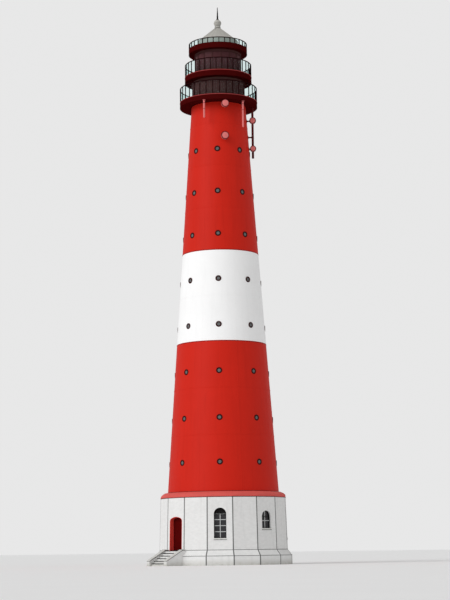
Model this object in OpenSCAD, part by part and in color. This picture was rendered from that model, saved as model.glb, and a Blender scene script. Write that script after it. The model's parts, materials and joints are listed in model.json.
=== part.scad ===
// Plated cast-iron lighthouse on a sixteen-sided masonry base, as a 1:2 scale model.
// Millimetres, +Z up. The origin is on the tower's axis at ground level, and the door faces -Y.
// Compass angles run from the door (-Y) towards +X.

/* [Masonry base] */
// Corner radius of the wall at its foot
wall_r = 2326; // [1900:1:2800]
// How far the plinth's corners stand out from the wall's
plinth_out = 161; // [60:1:300]
// Height of the plinth's upright part
plinth_upright_h = 326; // [200:1:400]
// Height of the plinth's top, which is the ground floor's level
plinth_h = 530; // [450:1:620]
// How far the wall leans in over its height
wall_batter = 50; // [0:1:90]
// Height of the wall above the plinth
wall_h = 1858; // [1780:1:2600]
// Thickness of the wall
wall_t = 450; // [380:1:470]
// Thickness of the ground floor's flagstones
floor_t = 30; // [20:1:60]
// Height of the rounded shoulder on top of the wall
skirt_h = 182; // [120:1:260]

/* [Base windows] */
// Width of every window opening
window_w = 434; // [300:1:480]
// How much lower than a half circle a window's arched head is
window_flat = 12; // [0:1:100]
// Height of a large window, from the sill's underside to the crown
large_window_h = 1096; // [800:1:1200]
// Height of a small window, from the sill's underside to the crown
small_window_h = 662; // [500:1:800]
// Level of the large windows' crown above the plinth
large_crown_h = 1456; // [1300:1:1600]
// Level of the small windows' crown above the plinth
small_crown_h = 1351; // [1200:1:1550]
// Depth of the frames behind the wall's face
frame_recess = 60; // [20:1:150]
// Width of a frame's bars
frame_w = 16; // [12:1:40]
// Depth of a frame's bars
frame_d = 40; // [25:1:60]
// Height of a window sill
sill_h = 44; // [25:1:60]
// How far a sill stands out from the wall
sill_out = 22; // [5:1:40]
// Thickness of the glass
glass_t = 8; // [4:1:12]

/* [Door] */
// Width of the doorway in the masonry
door_w = 665; // [560:1:700]
// Height of the doorway's crown above the threshold
door_h = 1172; // [1000:1:1350]
// Rise of the doorway's arched head
door_rise = 165; // [130:1:220]
// Radius of the rounded corners of the arched head
door_corner_r = 120; // [80:1:125]
// Depth of the painted lining in front of the door
lining_d = 196; // [120:1:240]
// Thickness of the lining's boards
lining_t = 12; // [8:1:20]
// Thickness of the door leaf
leaf_t = 36; // [25:1:45]
// Space around the moving leaf
leaf_gap = 7; // [7:1:10]
// Width of the frame posts beside the leaf
post_w = 32; // [25:1:36]
// Radius of the hinge pins
pin_r = 6; // [4:0.5:8]

/* [Entrance steps] */
// Number of risers up to the threshold
risers = 6; // [5:1:8]
// Going of one step
going = 125; // [100:1:160]
// Clear width between the cheek walls
steps_w = 780; // [700:1:820]
// Thickness of a cheek wall
cheek_t = 150; // [100:1:180]
// Height of a cheek wall's front end
cheek_end_h = 180; // [120:1:260]
// How far the cheek walls stand in front of the first riser
cheek_lead = 95; // [20:1:150]
// How far the cheek walls' top lies above the threshold
cheek_up = 20; // [0:1:60]
// Thickness of the stone treads
tread_t = 24; // [15:1:40]
// Overhang of a tread in front of its riser
nosing = 8; // [0:1:15]

/* [Shaft] */
// How far the shaft's foot stands back from the wall's corners
shaft_back = 310; // [270:1:360]
// Loss of radius for each unit of height
shaft_taper = 0.0697; // [0.06:0.0001:0.075]
// Thickness of the cast-iron plates
plate_t = 12.5; // [10:0.5:25]
// Width of the bolting flanges inside the shaft
flange_w = 60; // [40:1:90]
// Thickness of the bolting flanges
flange_t = 12; // [8:1:20]
// Height of the first ring of plates
ring_1_h = 2182; // [2000:1:2500]
// Height of the four rings above it
lower_ring_h = 1673; // [1500:1:1850]
// Height of the next three rings
upper_ring_h = 1590; // [1450:1:1750]
// Height of the ring that carries the gallery
support_ring_h = 987; // [800:1:1200]
// Thickness of the storey floors
storey_floor_t = 20; // [12:1:40]
// Height of a porthole's centre above its storey's lower joint
porthole_up = 600; // [450:1:800]
// Height of the lowest portholes above the masonry
first_porthole_up = 1212; // [1000:1:1500]
// Outer radius of a porthole's frame
porthole_r = 107; // [80:1:125]
// Radius of a porthole's glass
porthole_glass_r = 65; // [45:1:75]
// How far a porthole's frame stands out
porthole_out = 8; // [4:1:30]

/* [Galleries and roof] */
// How far the lower gallery stands out from the shaft's top
lower_gallery_out = 443; // [360:1:560]
// Depth of the lower gallery's box
lower_gallery_t = 200; // [120:1:260]
// Height of the lower gallery's railing
lower_rail_h = 522; // [450:1:560]
// How far the service room stands back from the shaft's top
service_back = 15; // [0:1:40]
// Height of the service room's wall
service_h = 750; // [700:1:900]
// How far the middle gallery stands out from the service room
middle_gallery_out = 263; // [200:1:340]
// Depth of the middle gallery's box
middle_gallery_t = 220; // [150:1:260]
// Height of the middle gallery's railing
middle_rail_h = 462; // [400:1:480]
// How far the lantern stands back from the service room
lantern_back = 106; // [60:1:160]
// Height of the lantern
lantern_h = 879; // [820:1:1000]
// How far the roof gallery stands out from the lantern
roof_gallery_out = 216; // [160:1:280]
// Depth of the roof gallery's box
roof_gallery_t = 207; // [100:1:240]
// Height of the roof gallery's railing
roof_rail_h = 190; // [170:1:240]
// Thickness of the galleries' sheet metal
sheet_t = 15; // [8:1:25]
// Side of the square railing posts
post_side = 26; // [18:1:34]
// Thickness of the railings' glass
rail_glass_t = 6; // [4:1:10]
// How far the roof's curb stands back from the lantern's wall
curb_back = 130; // [60:1:200]
// Height of the curb under the roof cone
curb_h = 292; // [100:1:320]
// Height of the roof cone
cone_h = 533; // [450:1:850]
// Radius of the roof cone's top
cone_top_r = 116; // [106:1:130]
// Height of the ventilator's neck
neck_h = 116; // [90:1:160]
// Radius of the ventilator's neck
neck_r = 100; // [80:1:105]
// Radius of the ventilator's ball
ball_r = 138; // [125:1:170]
// Height of the lightning rod above the ball
rod_h = 482; // [300:1:600]

/* [Antennas] */
// Radius of the hanging rod antennas
whip_r = 35; // [20:1:50]
// Length of the left and of the right rod antenna
whip_h = [640, 960];
// Radius of the dishes in front
front_dish_r = 142; // [120:1:175]
// Radius of the side mast
mast_r = 43; // [30:1:50]
// Length of the side mast
mast_h = 1935; // [1800:1:2200]
// Clear distance between the mast and the shaft at the mast's middle
mast_off = 138; // [130:1:180]
// Radius of the upper and of the lower dish on the mast
mast_dish_r = [112, 120];

/* [Hidden] */
$fn = 192;
eps = 1;
// Bedding joint left open between pieces that rest on each other.
bed = 0.1;
sides = 16;
bay = 360 / sides;
plinth_r = wall_r + plinth_out;
plinth_a = plinth_r * cos(bay / 2);
wall_a = wall_r * cos(bay / 2);
inner_a = wall_a - wall_t;
lean = atan(wall_batter / wall_h);
bay_half_w = wall_a * tan(bay / 2);
inner_half_w = inner_a * tan(bay / 2);
wall_top = plinth_h + wall_h;
wall_top_r = wall_r - wall_batter / cos(bay / 2);
threshold = plinth_h;

large_bays = [45, 135, 225, 315];
small_bays = [90, 180, 270];
window_bays = concat(large_bays, small_bays);
window_half = window_w / 2;
window_rise = window_half - window_flat;
window_arc_r = (window_half * window_half + window_rise * window_rise) / (2 * window_rise);
large_crown = plinth_h + large_crown_h;
small_crown = plinth_h + small_crown_h;

door_half = door_w / 2;
door_spring = threshold + door_h - door_rise;
leaf_front = -wall_a + lining_d + leaf_gap;
leaf_back = leaf_front + leaf_t;
leaf_half = door_half + 8;
leaf_top = threshold + door_h + 10;
rebate_half = leaf_half + leaf_gap + post_w;
rebate_front = leaf_front - leaf_gap;
rebate_top = leaf_top + leaf_gap + post_w;
pin_y = leaf_back + 18;
frame_back = leaf_back - 4;
pin_h = 46;
pin_play = 0.3;
eye_r = pin_r + 6;
pin_x = -rebate_half + eye_r + leaf_gap;
strap_t = 5;
strap_w = 30;
strap_l = 420;
strap_up = [170, 940];

riser_h = threshold / risers;
steps_front = -plinth_a + 14 - (risers - 1) * going;

ring_h = [ring_1_h, lower_ring_h, lower_ring_h, lower_ring_h, lower_ring_h,
          upper_ring_h, upper_ring_h, upper_ring_h, support_ring_h];
storeys = 8;
shaft_foot_r = wall_r - shaft_back;
function ring_z(k) = k == 0 ? wall_top + bed : ring_z(k - 1) + ring_h[k - 1];
function shaft_r(z) = shaft_foot_r - shaft_taper * (z - wall_top);
function porthole_z(k) = k == 0 ? wall_top + first_porthole_up : ring_z(k) + porthole_up;
shaft_top = ring_z(storeys + 1);
shaft_lean = atan(shaft_taper);

skirt_reach = wall_top_r + 10 - shaft_foot_r;
skirt_arc_r = (skirt_reach * skirt_reach + skirt_h * skirt_h) / (2 * skirt_h);

lower_gallery_r = shaft_r(shaft_top) + lower_gallery_out;
service_r = shaft_r(shaft_top) - service_back;
middle_gallery_r = service_r + middle_gallery_out;
lantern_r = service_r - lantern_back;
roof_gallery_r = lantern_r + roof_gallery_out;
lower_deck = shaft_top + sheet_t;
middle_soffit = lower_deck + service_h;
middle_deck = middle_soffit + middle_gallery_t;
roof_soffit = middle_deck + lantern_h;
roof_deck = roof_soffit + roof_gallery_t;
cone_z = roof_deck + curb_h;
curb_r = lantern_r - curb_back;
cone_r = curb_r + 6;
neck_z = cone_z + cone_h;
ball_z = neck_z + neck_h + sqrt(ball_r * ball_r - neck_r * neck_r);
rod_r = 34;
rod_tip_r = 10;

mullions = 16;
mullion_w = 26;
lantern_wall_t = 24;
lantern_sill_h = 190;
lantern_head_h = 90;
lantern_glass_t = 10;

lower_posts = 36;
middle_posts = 36;
roof_posts = 32;
rail_h = 22;
whip_angle = [26, 88];
dish_angle = 58.5;
mast_angle = 135;
hang_r = lower_gallery_r - 45;
lower_soffit = lower_deck - lower_gallery_t;
mast_z = lower_soffit - mast_h;
mast_axis_r = shaft_r(mast_z + mast_h / 2) + mast_off + mast_r;
mast_bracket_up = [345, 795, 1415];
mast_dish_up = [345, 1415];
dish_t = 90;
dish_turn = 84;

iron_red = [0.75, 0.15, 0.10];
white = [0.91, 0.91, 0.91];
plaster = [0.88, 0.88, 0.88];
stone = [0.78, 0.78, 0.77];
dark_iron = [0.24, 0.08, 0.09];
pale_glass = [0.72, 0.88, 0.88];
dark_glass = [0.10, 0.11, 0.12];

// Turns what is built in front of the door's bay to another compass angle.
module at_bay(angle) rotate([0, 0, angle]) children();

// A regular sixteen-sided outline whose faces look along the bays.
module outline(r) polygon([for (i = [0:sides - 1]) r * [sin(bay * (i + 0.5)), -cos(bay * (i + 0.5))]]);

// ---- Masonry base ----

module plinth_mass() {
    linear_extrude(plinth_upright_h) outline(plinth_r);
    translate([0, 0, plinth_upright_h])
        linear_extrude(plinth_h - plinth_upright_h, scale = wall_r / plinth_r) outline(plinth_r);
}

module plinth() color(plaster) difference() {
    plinth_mass();
    translate([0, 0, plinth_h - floor_t]) linear_extrude(floor_t + eps) floor_outline();
}

module floor_outline() {
    outline(inner_a / cos(bay / 2));
    translate([-rebate_half, -wall_a + wall_t - eps]) square([2 * rebate_half, 2 * eps]);
}

module ground_floor() color(stone)
    translate([0, 0, plinth_h - floor_t]) linear_extrude(floor_t) floor_outline();

// Everything in front of the leaning outer face of the bay at the door.
module outside_face() translate([0, -wall_a, plinth_h]) rotate([-lean, 0, 0])
    translate([-wall_r, -wall_r, -wall_h]) cube([2 * wall_r, wall_r, 3 * wall_h]);

module wall_bay() difference() {
    translate([0, 0, plinth_h]) linear_extrude(wall_h)
        polygon([[-inner_half_w + bed, -inner_a], [inner_half_w - bed, -inner_a],
                 [bay_half_w - bed, -wall_a], [-bay_half_w + bed, -wall_a]]);
    outside_face();
}

// The straight-sided block of wall that takes the doorway.
module door_block() translate([-bay_half_w, -wall_r, plinth_h - eps])
    cube([2 * bay_half_w, wall_r - inner_a + eps, wall_h + 2 * eps]);

module plain_wall_bays() color(plaster) for (i = [0:sides / 2 - 1])
    difference() {
        at_bay(bay * (2 * i + 1)) wall_bay();
        door_block();
    }

// Outline of an arched opening, standing on the bottom line.
module arch_outline(half, bottom, crown, rise, arc_r) intersection() {
    translate([-half, bottom]) square([2 * half, crown - bottom + eps]);
    union() {
        translate([0, crown - arc_r]) circle(arc_r);
        translate([-half - eps, bottom - eps]) square([2 * (half + eps), crown - rise - bottom]);
    }
}

// Stands an outline up and runs it back from a given distance in front of the axis.
module upright(front, depth) translate([0, front + depth, 0]) rotate([90, 0, 0])
    linear_extrude(depth) children();

module window_hole(crown, height) upright(-wall_r, wall_r - inner_a + wall_t)
    arch_outline(window_half, crown - height, crown, window_rise, window_arc_r);

module large_window_bays() color(plaster) for (angle = large_bays) at_bay(angle) difference() {
    wall_bay();
    window_hole(large_crown, large_window_h);
}

module small_window_bays() color(plaster) for (angle = small_bays) at_bay(angle) difference() {
    wall_bay();
    window_hole(small_crown, small_window_h);
}

// The wall's face at a given height in front of the axis.
function face_y(z) = -wall_a + (z - plinth_h) * tan(lean);

module window_frame(crown, height) {
    bottom = crown - height + sill_h;
    front = face_y(crown) + frame_recess;
    upright(front, frame_d) {
        difference() {
            arch_outline(window_half, bottom, crown, window_rise, window_arc_r);
            arch_outline(window_half - frame_w, bottom + frame_w, crown - frame_w,
                         window_rise, window_arc_r - frame_w);
        }
        translate([-window_half + frame_w / 2, crown - window_rise - frame_w])
            square([window_w - frame_w, frame_w]);
    }
}

module window_pane(crown, height) upright(face_y(crown) + frame_recess + frame_d, glass_t)
    arch_outline(window_half - frame_w / 2, crown - height + sill_h, crown - frame_w / 2,
                 window_rise, window_arc_r - frame_w / 2);

module window_sill(crown, height) {
    bottom = crown - height;
    front = face_y(bottom) - sill_out;
    translate([-window_half, front, bottom])
        cube([window_w, face_y(crown) + frame_recess + frame_d + glass_t - front, sill_h]);
}

module window_frames() color(white) {
    for (angle = large_bays) at_bay(angle) window_frame(large_crown, large_window_h);
    for (angle = small_bays) at_bay(angle) window_frame(small_crown, small_window_h);
}

module window_glass() color(dark_glass) {
    for (angle = large_bays) at_bay(angle) window_pane(large_crown, large_window_h);
    for (angle = small_bays) at_bay(angle) window_pane(small_crown, small_window_h);
}

module window_sills() color(white) {
    for (angle = large_bays) at_bay(angle) window_sill(large_crown, large_window_h);
    for (angle = small_bays) at_bay(angle) window_sill(small_crown, small_window_h);
}

// Rounded shoulder that covers the masonry's top around the shaft.
module base_skirt() color(iron_red) intersection() {
    rotate_extrude() difference() {
        union() {
            translate([shaft_foot_r - skirt_h / 2, wall_top + bed]) square([skirt_h / 2, skirt_h - bed]);
            intersection() {
                translate([shaft_foot_r, wall_top + skirt_h - skirt_arc_r]) circle(skirt_arc_r);
                translate([shaft_foot_r, wall_top + bed]) square([skirt_reach, skirt_h]);
            }
        }
        polygon([[0, wall_top - eps], [shaft_r(wall_top - eps) + bed, wall_top - eps],
                 [shaft_r(wall_top + 2 * skirt_h) + bed, wall_top + 2 * skirt_h],
                 [0, wall_top + 2 * skirt_h]]);
    }
    linear_extrude(wall_top + 2 * skirt_h) outline(wall_top_r);
}

// ---- Doorway and door ----

// Outline of the doorway: upright sides, two rounded corners and a flatter arc between them.
module doorway_outline(inset, bottom) {
    half = door_half - inset;
    rise = door_rise - inset;
    corner = door_corner_r - inset;
    reach = half - corner;
    arc = (reach * reach + rise * rise - corner * corner) / (2 * (rise - corner));
    arc_z = door_spring + rise - arc;
    spread = 2 * arc / (arc - corner);
    translate([-half, bottom]) square([2 * half, door_spring - bottom]);
    for (s = [-1, 1]) translate([s * reach, door_spring]) circle(corner);
    intersection() {
        translate([0, arc_z]) circle(arc);
        polygon([[-reach, door_spring], [reach, door_spring],
                 [reach * spread, arc_z + (door_spring - arc_z) * spread],
                 [-reach * spread, arc_z + (door_spring - arc_z) * spread]]);
    }
}

module doorway_hole() {
    upright(-wall_r, wall_r + rebate_front + eps) doorway_outline(0, plinth_h - eps);
    translate([-rebate_half, rebate_front, plinth_h - eps])
        cube([2 * rebate_half, wall_t, rebate_top - plinth_h + eps]);
}

module door_bay() difference() {
    translate([-bay_half_w, -wall_a, plinth_h]) cube([2 * bay_half_w, wall_t, wall_h]);
    outside_face();
    doorway_hole();
}

module jamb(side) intersection() {
    door_bay();
    translate([side < 0 ? -wall_r : 0, -wall_r, 0]) cube([wall_r, wall_r, door_spring]);
}

module door_jamb_left() color(plaster) jamb(-1);
module door_jamb_right() color(plaster) jamb(1);

module door_head() color(plaster) intersection() {
    door_bay();
    translate([-wall_r, -wall_r, door_spring]) cube([2 * wall_r, wall_r, wall_h]);
}

module door_lining() color([0.70, 0.20, 0.17]) difference() {
    upright(-wall_a, lining_d) difference() {
        doorway_outline(0, threshold);
        doorway_outline(lining_t, threshold - eps);
    }
    outside_face();
}

// Rectangular frame in the masonry's rebate, around the leaf.
module door_frame() color([0.45, 0.08, 0.08]) translate([0, rebate_front, 0]) difference() {
    translate([-rebate_half, 0, threshold])
        cube([2 * rebate_half, frame_back - rebate_front, rebate_top - threshold]);
    translate([-leaf_half - leaf_gap, -eps, threshold - eps])
        cube([2 * (leaf_half + leaf_gap), 2 * leaf_t, leaf_top + leaf_gap - threshold + eps]);
}

// One pintle: a plate on the frame post with an upright pin.
module pintle(z) {
    translate([pin_x - eye_r, frame_back, z - 30]) cube([2 * eye_r, pin_y - frame_back, 30]);
    translate([pin_x, pin_y, z - 30]) cylinder(r = eye_r, h = 30);
    translate([pin_x, pin_y, z - eps]) cylinder(r = pin_r, h = pin_h + eps);
}

module door_pins() color([0.2, 0.2, 0.2]) for (up = strap_up) pintle(threshold + up);

module door_leaf() color([0.30, 0.04, 0.04])
    translate([-leaf_half, leaf_front, threshold + leaf_gap])
        cube([2 * leaf_half, leaf_t, leaf_top - threshold - leaf_gap]);

// Strap on the leaf's inner face with an eye that drops over the pin.
module strap(z) difference() {
    union() {
        translate([-leaf_half, leaf_back, z]) cube([strap_l, strap_t, strap_w]);
        translate([pin_x, pin_y - eye_r, z]) cube([-leaf_half + eye_r - pin_x, strap_t, strap_w]);
        translate([-leaf_half, leaf_back, z]) cube([eye_r, pin_y - eye_r + strap_t - leaf_back, strap_w]);
        translate([pin_x, pin_y, z]) cylinder(r = eye_r, h = strap_w);
    }
    translate([pin_x, pin_y, z - eps]) cylinder(r = pin_r + pin_play / 2, h = strap_w + 2 * eps);
}

module door_straps() color([0.2, 0.2, 0.2])
    for (up = strap_up) strap(threshold + up + pin_play);

// Round knob and plate on the outside, and a bar on the inside.
module door_handle() color([0.6, 0.6, 0.55]) translate([leaf_half - 60, 0, threshold + 520]) {
    translate([-16, leaf_front - 4, -50]) cube([32, 4, 100]);
    rotate([90, 0, 0]) {
        translate([0, 0, -leaf_front]) cylinder(r = 7, h = 40);
        translate([0, 0, -leaf_front + 26]) cylinder(r = 20, h = 16);
    }
    translate([-10, leaf_back, -60]) cube([20, 26, 16]);
    translate([-10, leaf_back, 44]) cube([20, 26, 16]);
    translate([-10, leaf_back + 26, -60]) cube([20, 10, 120]);
}

// ---- Entrance steps ----

// Y of the riser of a step, counted from the ground.
function riser_y(i) = steps_front + i * going;

module steps_core() color(plaster) difference() {
    for (i = [0:risers - 1]) translate([-steps_w / 2, riser_y(i), 0])
        cube([steps_w, -wall_a + eps - riser_y(i), (i + 1) * riser_h - tread_t]);
    plinth_mass();
    outside_cut();
}

// The wall's own block, cut out of what is built against it.
module outside_cut() translate([-wall_r, -wall_a, plinth_h - eps]) cube([2 * wall_r, wall_r, wall_h]);

module step_treads() color(stone) difference() {
    for (i = [0:risers - 1]) translate([-steps_w / 2, riser_y(i) - nosing, (i + 1) * riser_h - tread_t])
        cube([steps_w, (i == risers - 1 ? -wall_a - riser_y(i) : going) + (i == risers - 1 ? nosing : 0),
              tread_t]);
    plinth_mass();
}

module cheek_wall(side) difference() {
    translate([side > 0 ? steps_w / 2 : -steps_w / 2 - cheek_t, 0, 0]) rotate([90, 0, 90])
        linear_extrude(cheek_t) polygon([
            [steps_front - cheek_lead, 0], [-inner_a, 0], [-inner_a, threshold + cheek_up],
            [riser_y(risers - 1) + 10, threshold + cheek_up], [steps_front - cheek_lead, cheek_end_h]]);
    plinth_mass();
    linear_extrude(wall_top) outline(wall_r);
}

module cheek_wall_left() color(plaster) cheek_wall(-1);
module cheek_wall_right() color(plaster) cheek_wall(1);

// ---- Shaft ----

// One ring of plates with its two inner flanges and, if asked, its row of portholes.
module shaft_ring(k, portholes) {
    z0 = ring_z(k);
    z1 = ring_z(k + 1);
    difference() {
        rotate_extrude() polygon([
            [shaft_r(z0), z0], [shaft_r(z1), z1],
            [shaft_r(z1) - flange_w, z1], [shaft_r(z1) - flange_w, z1 - flange_t],
            [shaft_r(z1 - flange_t) - plate_t, z1 - flange_t],
            [shaft_r(z0 + flange_t) - plate_t, z0 + flange_t],
            [shaft_r(z0) - flange_w, z0 + flange_t], [shaft_r(z0) - flange_w, z0]]);
        if (portholes) for (i = [0:7]) at_porthole(k, i)
            cylinder(r = porthole_r, h = 2 * shaft_foot_r);
    }
}

// Moves to the axis at a porthole's height, with +Z pointing out through it.
module at_porthole(k, i) translate([0, 0, porthole_z(k)]) rotate([0, 0, 45 * i])
    rotate([90, 0, 0]) children();

module shaft_ring_1() color(iron_red) shaft_ring(0, true);
module shaft_ring_2() color(iron_red) shaft_ring(1, true);
module shaft_ring_3() color(iron_red) shaft_ring(2, true);
module shaft_ring_4() color(white) shaft_ring(3, true);
module shaft_ring_5() color(white) shaft_ring(4, true);
module shaft_ring_6() color(iron_red) shaft_ring(5, true);
module shaft_ring_7() color(iron_red) shaft_ring(6, true);
module shaft_ring_8() color(iron_red) shaft_ring(7, true);
module support_ring() color(iron_red) shaft_ring(8, false);

module storey_floors() color([0.5, 0.5, 0.5]) for (k = [0:storeys])
    translate([0, 0, ring_z(k) + flange_t])
        cylinder(r = shaft_r(ring_z(k) + flange_t + storey_floor_t) - plate_t - 2, h = storey_floor_t);

module porthole_frames() color([0.18, 0.08, 0.08]) for (k = [0:storeys - 1], i = [0:7]) {
    inner_end = shaft_r(porthole_z(k)) - plate_t - 22;
    at_porthole(k, i) translate([0, 0, inner_end]) difference() {
        cylinder(r = porthole_r, h = plate_t + 22 + porthole_out);
        translate([0, 0, -eps]) cylinder(r = porthole_glass_r, h = plate_t + 100);
    }
}

module porthole_glass() color(dark_glass) for (k = [0:storeys - 1], i = [0:7])
    at_porthole(k, i) translate([0, 0, shaft_r(porthole_z(k)) - glass_t])
        cylinder(r = porthole_glass_r, h = glass_t);

// ---- Galleries ----

// A boxed gallery: deck plate right across, fascia, and soffit plate from an inner radius out.
module gallery_box(r, deck_z, depth, soffit_r) rotate_extrude() polygon([
    [0, deck_z], [r, deck_z], [r, deck_z - depth], [soffit_r, deck_z - depth],
    [soffit_r, deck_z - depth + sheet_t], [r - sheet_t, deck_z - depth + sheet_t],
    [r - sheet_t, deck_z - sheet_t], [0, deck_z - sheet_t]]);

// Posts between two flat rails that run round the gallery's edge.
module railing(r, deck_z, height, posts, offset_angle) {
    for (i = [0:posts - 1]) at_bay(offset_angle + 360 / posts * i)
        translate([-post_side / 2, -r, deck_z + bed]) cube([post_side, post_side, height - rail_h / 2]);
    rotate_extrude() translate([r - post_side - 4, deck_z + height - rail_h]) square([post_side + 4, rail_h]);
}

// Curved glass sheets inside the posts, each as long as some bays, with joints at posts.
module railing_glass(r, deck_z, height, posts, offset_angle, bays) {
    joint = 0.6;
    angle = 360 / posts * bays;
    for (i = [0:posts / bays - 1])
        rotate([0, 0, offset_angle - 90 + angle * i + joint / 2]) rotate_extrude(angle = angle - joint)
            translate([r - post_side - rail_glass_t - 1, deck_z + bed])
                square([rail_glass_t, height - rail_h - 2 * bed]);
}

module lower_gallery() color(dark_iron)
    gallery_box(lower_gallery_r, lower_deck, lower_gallery_t, shaft_r(lower_soffit));
module lower_railing() color(dark_iron)
    railing(lower_gallery_r, lower_deck, lower_rail_h, lower_posts, 0);
module lower_railing_glass() color(pale_glass)
    railing_glass(lower_gallery_r, lower_deck, lower_rail_h, lower_posts, 0, 3);

// Plain cylindrical wall with a slim moulding under the gallery above.
module service_room_wall() color([0.24, 0.15, 0.15]) rotate_extrude() polygon([
    [service_r - plate_t, lower_deck], [service_r, lower_deck], [service_r, middle_soffit - 70],
    [service_r + 12, middle_soffit - 58], [service_r + 12, middle_soffit],
    [service_r - plate_t, middle_soffit]]);

module middle_gallery() color(dark_iron)
    gallery_box(middle_gallery_r, middle_deck, middle_gallery_t, service_r - plate_t);
module middle_railing() color(dark_iron)
    railing(middle_gallery_r, middle_deck, middle_rail_h, middle_posts, 5);
module middle_railing_glass() color(pale_glass)
    railing_glass(middle_gallery_r, middle_deck, middle_rail_h, middle_posts, 5, 3);

// Sill ring, head ring and slim mullions of the lantern.
module lantern_frame() color([0.25, 0.15, 0.16]) {
    translate([0, 0, middle_deck]) difference() {
        cylinder(r = lantern_r, h = lantern_h);
        translate([0, 0, -eps]) cylinder(r = lantern_r - lantern_wall_t, h = lantern_h + 2 * eps);
        translate([0, 0, lantern_sill_h])
            difference() {
                cylinder(r = lantern_r + eps, h = lantern_h - lantern_sill_h - lantern_head_h);
                for (i = [0:mullions - 1]) at_bay(360 / mullions * (i + 0.5))
                    translate([-mullion_w / 2, -lantern_r - 2 * eps, -eps])
                        cube([mullion_w, 3 * lantern_wall_t, lantern_h]);
            }
    }
}

module lantern_glass() color(dark_glass) translate([0, 0, middle_deck + lantern_sill_h - 20]) difference() {
    cylinder(r = lantern_r - lantern_wall_t, h = lantern_h - lantern_sill_h - lantern_head_h + 40);
    translate([0, 0, -eps])
        cylinder(r = lantern_r - lantern_wall_t - lantern_glass_t, h = lantern_h);
}

module roof_gallery() color(dark_iron)
    gallery_box(roof_gallery_r, roof_deck, roof_gallery_t, lantern_r - lantern_wall_t);
module roof_railing() color(dark_iron)
    railing(roof_gallery_r, roof_deck, roof_rail_h, roof_posts, 5.625);
module roof_railing_glass() color(pale_glass)
    railing_glass(roof_gallery_r, roof_deck, roof_rail_h, roof_posts, 5.625, 4);

// ---- Roof ----

module roof_cone() color([0.67, 0.66, 0.63]) {
    slope_t = sheet_t * sqrt(1 + pow((cone_r - cone_top_r) / cone_h, 2));
    rotate_extrude() polygon([
        [curb_r - sheet_t, roof_deck], [curb_r, roof_deck], [curb_r, cone_z - 8],
        [cone_r, cone_z - 8], [cone_r, cone_z], [cone_top_r, neck_z], [0, neck_z],
        [0, neck_z - slope_t], [cone_top_r - slope_t, neck_z - slope_t],
        [curb_r - sheet_t, cone_z - 8]]);
}

module ventilator_neck() color([0.60, 0.59, 0.56]) difference() {
    translate([0, 0, neck_z]) cylinder(r = neck_r, h = neck_h + 40);
    translate([0, 0, ball_z]) sphere(r = ball_r);
}

module ventilator_ball() color([0.69, 0.68, 0.65]) translate([0, 0, ball_z]) sphere(r = ball_r);

module lightning_rod() color([0.1, 0.1, 0.1]) difference() {
    translate([0, 0, ball_z + ball_r - 10]) cylinder(r1 = rod_r, r2 = rod_tip_r, h = rod_h + 10);
    translate([0, 0, ball_z]) sphere(r = ball_r);
}

// ---- Antennas ----

// Two rods that hang from plates under the lower gallery's edge.
module rod_antennas() color([0.89, 0.51, 0.51]) for (i = [0, 1]) at_bay(whip_angle[i])
    translate([0, -hang_r, lower_soffit - bed]) {
        translate([-43, -43, -sheet_t]) cube([86, 86, sheet_t]);
        translate([0, 0, -whip_h[i]]) cylinder(r = whip_r, h = whip_h[i]);
        translate([0, 0, -whip_h[i]]) sphere(r = whip_r);
    }

// A drum-shaped dish with a shallow domed front that looks out along -Y.
module dish(r) rotate([90, 0, 0]) {
    cylinder(r = r, h = dish_t);
    intersection() {
        translate([0, 0, dish_t - 3 * r]) sphere(r = sqrt(10) * r);
        translate([0, 0, dish_t - eps]) cylinder(r = r, h = r);
    }
}

module front_dishes() color([0.89, 0.51, 0.51]) at_bay(dish_angle) {
    upper_z = lower_soffit - front_dish_r - 6;
    lower_z = lower_soffit - 1330;
    lower_back = shaft_r(lower_z) + 100;
    translate([0, -hang_r + dish_t, upper_z]) dish(front_dish_r);
    translate([-20, -hang_r + dish_t, upper_z]) cube([40, 30, front_dish_r + 6 - bed]);
    translate([0, -lower_back, lower_z]) dish(front_dish_r);
    difference() {
        translate([-25, -lower_back, lower_z - 25]) cube([50, 200, 50]);
        shaft_solid();
    }
}

// The shaft's outer cone and the bedding joint on it, cut out of what is bolted to it.
module shaft_solid() rotate_extrude() polygon([
    [0, wall_top], [shaft_foot_r + bed, wall_top], [shaft_r(shaft_top) + bed, shaft_top], [0, shaft_top]]);

module side_mast() color([0.45, 0.10, 0.10]) at_bay(mast_angle) difference() {
    union() {
        translate([0, -mast_axis_r, mast_z]) cylinder(r = mast_r, h = mast_h - bed);
        for (up = mast_bracket_up) translate([-22, -mast_axis_r, mast_z + up - 22])
            cube([44, mast_axis_r - shaft_r(mast_z + up) + 60, 44]);
    }
    rotate([0, 0, -mast_angle]) shaft_solid();
}

module side_dishes() color([0.75, 0.25, 0.25]) at_bay(mast_angle) for (i = [0, 1])
    translate([0, -mast_axis_r, mast_z + mast_dish_up[i]]) rotate([0, 0, -dish_turn]) difference() {
        translate([0, -mast_r + 12, 0]) dish(mast_dish_r[i]);
        translate([0, 0, -2 * mast_dish_r[i]]) cylinder(r = mast_r, h = 4 * mast_dish_r[i]);
    }

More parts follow.
